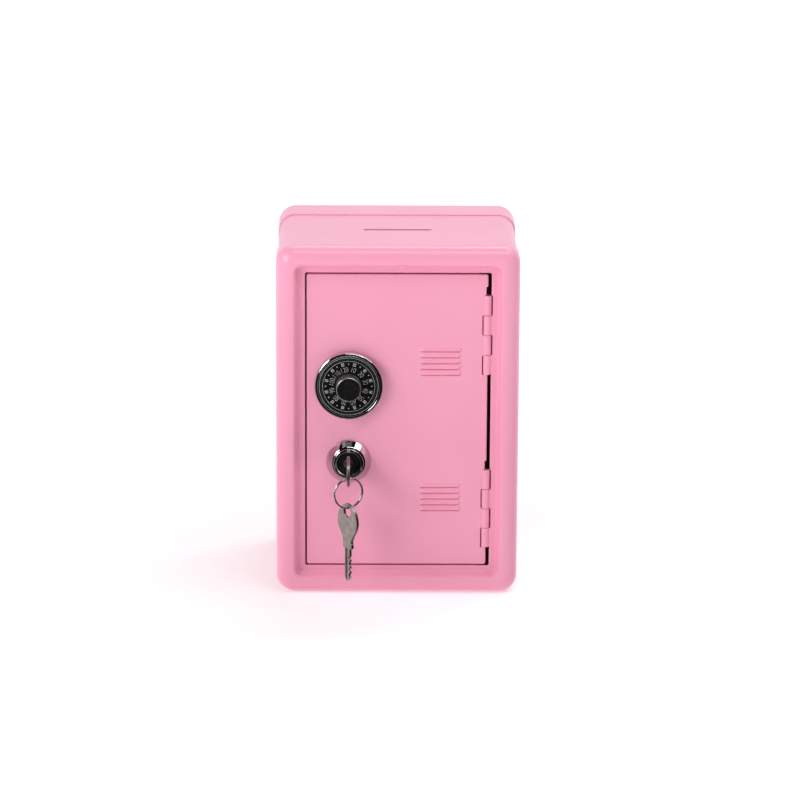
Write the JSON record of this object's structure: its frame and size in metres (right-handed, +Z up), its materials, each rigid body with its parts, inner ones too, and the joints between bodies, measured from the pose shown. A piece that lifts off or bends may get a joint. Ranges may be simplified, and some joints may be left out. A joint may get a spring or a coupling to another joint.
{
  "type": "toy safe coin bank",
  "caption": "Pressed sheet-metal toy safe with a coin slot in the top, a hinged louvred door, a spinning number dial, and a cam lock with keys on a split ring.",
  "frame": {"origin": "on the floor, under the middle of the whole object's box, keys included", "axes": "+Z up; the door faces -Y; +X is to the right seen from the front, where the hinges are"},
  "size_m": [0.12, 0.123, 0.178],
  "materials": {
    "pink_paint": "semi-gloss pink powder coat on sheet steel",
    "hinge_steel": "drawn steel wire",
    "chrome": "bright chrome plating",
    "dial_black": "gloss black enamel with pale numbers and marks",
    "knob_metal": "satin plated, fluted",
    "zinc_steel": "bright zinc-plated steel",
    "plug_metal": "nickel-plated die-cast zinc",
    "brass": "stamped brass",
    "key_nickel": "nickel-plated steel, tumbled",
    "ring_wire": "nickel-plated spring wire"
  },
  "bodies": {
    "case": {"front_frame": "pink_paint", "body_sleeve": "pink_paint", "rear_shell": "pink_paint", "upper_hinge_pin": "hinge_steel", "lower_hinge_pin": "hinge_steel"},
    "door": {"door_panel": "pink_paint", "dial_bezel": "chrome", "lock_escutcheon": "chrome", "lock_housing": "chrome", "lock_washer": "zinc_steel", "lock_nut": "zinc_steel"},
    "dial": {"dial_disc": "dial_black", "dial_knob": "knob_metal", "dial_knob_cap": "dial_black", "dial_spindle": "zinc_steel", "dial_spring_washer": "zinc_steel", "dial_push_nut": "zinc_steel"},
    "latch": {"lock_plug": "plug_metal", "lock_face_ring": "dial_black", "lock_wafers": "brass", "lock_cam": "zinc_steel", "lock_cam_screw": "zinc_steel"},
    "key": {"key_in_lock": "key_nickel"},
    "ring": {"key_ring": "ring_wire"},
    "spare": {"spare_key": "key_nickel"}
  },
  "joints": [
    {"name": "door_hinge", "type": "hinge", "parent": "case", "child": "door", "pos_m": [0.0441, -0.0307, 0.089], "axis": [0, 0, 1], "range_deg": [0, 110]},
    {"name": "dial_spin", "type": "hinge", "parent": "door", "child": "dial", "pos_m": [-0.0241, -0.0365, 0.1079], "axis": [0, -1, 0], "continuous": true},
    {"name": "lock_turn", "type": "hinge", "parent": "door", "child": "latch", "pos_m": [-0.0241, -0.0365, 0.06805], "axis": [0, 1, 0], "range_deg": [0, 90]},
    {"name": "key_pull", "type": "slide", "parent": "latch", "child": "key", "axis": [0, -1, 0], "range_m": [0, 0.022]},
    {"name": "ring_swing", "type": "hinge", "parent": "key", "child": "ring", "pos_m": [-0.0241, -0.0552, 0.0661], "axis": [0.8988, 0.4384, 0], "range_deg": [-50, 10]},
    {"name": "spare_key_swing", "type": "hinge", "parent": "ring", "child": "spare", "pos_m": [-0.0241, -0.0552, 0.051], "axis": [0.8988, 0.4384, 0], "range_deg": [-50, 8]}
  ]
}
